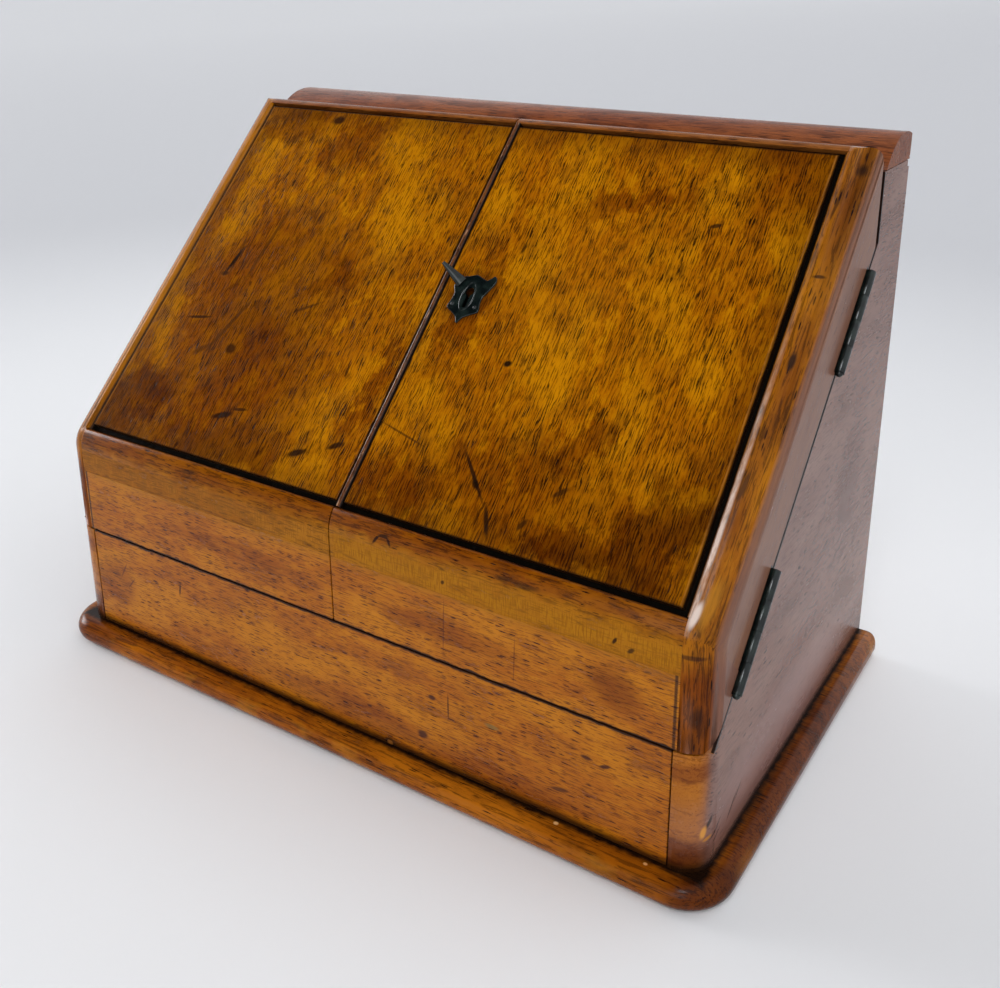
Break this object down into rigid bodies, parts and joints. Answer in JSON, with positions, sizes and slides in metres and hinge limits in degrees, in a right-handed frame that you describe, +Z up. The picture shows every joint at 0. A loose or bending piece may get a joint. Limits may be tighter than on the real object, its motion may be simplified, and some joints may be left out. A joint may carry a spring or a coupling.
{
  "type": "stationery cabinet",
  "caption": "Slope-fronted wooden stationery cabinet with wrap-over doors, a hinged lid, a letter rack inside and a full-width drawer on a plinth with a rounded nose.",
  "frame": {"origin": "centre of the plinth's underside", "axes": "+X to the right door, +Y to the back, +Z up"},
  "size_m": [0.38, 0.218, 0.2759],
  "materials": {
    "case_wood": "waxed",
    "panel_wood": "waxed",
    "front_wood": "waxed",
    "top_wood": "waxed",
    "back_wood": "plain",
    "inner_wood": "plain",
    "dark_brass": "blackened",
    "dark_steel": "blackened",
    "brass": "satin"
  },
  "bodies": {
    "case": {"plinth": "case_wood", "side_board_left": "case_wood", "side_board_right": "case_wood", "back_board": "back_wood", "cabinet_floor": "inner_wood", "rack_liner_left": "inner_wood", "rack_liner_right": "inner_wood", "rack_board_front": "inner_wood", "rack_board_middle": "inner_wood", "rack_board_rear": "inner_wood", "card_divider": "inner_wood", "envelope_divider": "inner_wood", "pen_trough": "inner_wood", "pen_compartment_front": "inner_wood", "pen_compartment_floor": "inner_wood", "pen_rests": "inner_wood", "drawer_stops": "back_wood", "plinth_screws": "dark_steel", "case_hinge_leaves_left": "dark_brass", "case_hinge_leaves_right": "dark_brass", "hinge_pins_left": "dark_brass", "hinge_pins_right": "dark_brass", "case_hinge_screws": "dark_brass", "lid_hinge_case_leaves": "brass", "lid_hinge_pins": "brass", "lid_hinge_case_screws": "brass"},
    "door_left": {"door_cheek_left": "case_wood", "door_front_board_left": "front_wood", "door_bottom_rail_left": "case_wood", "door_panel_left": "panel_wood", "door_top_rail_left": "top_wood", "door_hinge_leaves_left": "dark_brass", "door_hinge_screws_left": "dark_brass", "strike_plate": "brass", "slide_bolt_plate": "brass", "slide_bolt_screws": "brass"},
    "door_right": {"door_cheek_right": "case_wood", "door_front_board_right": "front_wood", "door_bottom_rail_right": "case_wood", "door_panel_right": "panel_wood", "door_top_rail_right": "top_wood", "door_hinge_leaves_right": "dark_brass", "door_hinge_screws_right": "dark_brass", "door_bead": "case_wood", "lock_case": "brass", "lock_screws": "brass", "escutcheon": "dark_brass", "escutcheon_pins": "dark_brass"},
    "lock_bolt": {"lock_bolt": "brass"},
    "slide_bolt": {"slide_bolt": "brass"},
    "lid": {"lid_board": "top_wood", "lid_hinge_lid_leaves": "brass", "lid_hinge_lid_screws": "brass"},
    "drawer": {"drawer_front": "front_wood", "drawer_side_left": "inner_wood", "drawer_side_right": "inner_wood", "drawer_back": "inner_wood", "drawer_bottom": "inner_wood"}
  },
  "joints": [
    {"name": "door_left_hinge", "type": "hinge", "parent": "case", "child": "door_left", "pos_m": [-0.1815, -0.099, 0.062], "axis": [0, -0.7009, -0.7133], "range_deg": [0, 175]},
    {"name": "door_right_hinge", "type": "hinge", "parent": "case", "child": "door_right", "pos_m": [0.1815, -0.099, 0.062], "axis": [0, 0.7009, 0.7133], "range_deg": [0, 175]},
    {"name": "lid_hinge", "type": "hinge", "parent": "case", "child": "lid", "pos_m": [0, 0.1071, 0.26209], "axis": [-1, 0, 0], "range_deg": [0, 98]},
    {"name": "drawer_slide", "type": "slide", "parent": "case", "child": "drawer", "axis": [0, -1, 0], "range_m": [0, 0.15]},
    {"name": "lock_bolt_slide", "type": "slide", "parent": "door_right", "child": "lock_bolt", "axis": [-1, 0, 0], "range_m": [0, 0.005]},
    {"name": "slide_bolt_slide", "type": "slide", "parent": "door_left", "child": "slide_bolt", "axis": [0, 0.7009, 0.7133], "range_m": [0, 0.01]}
  ]
}
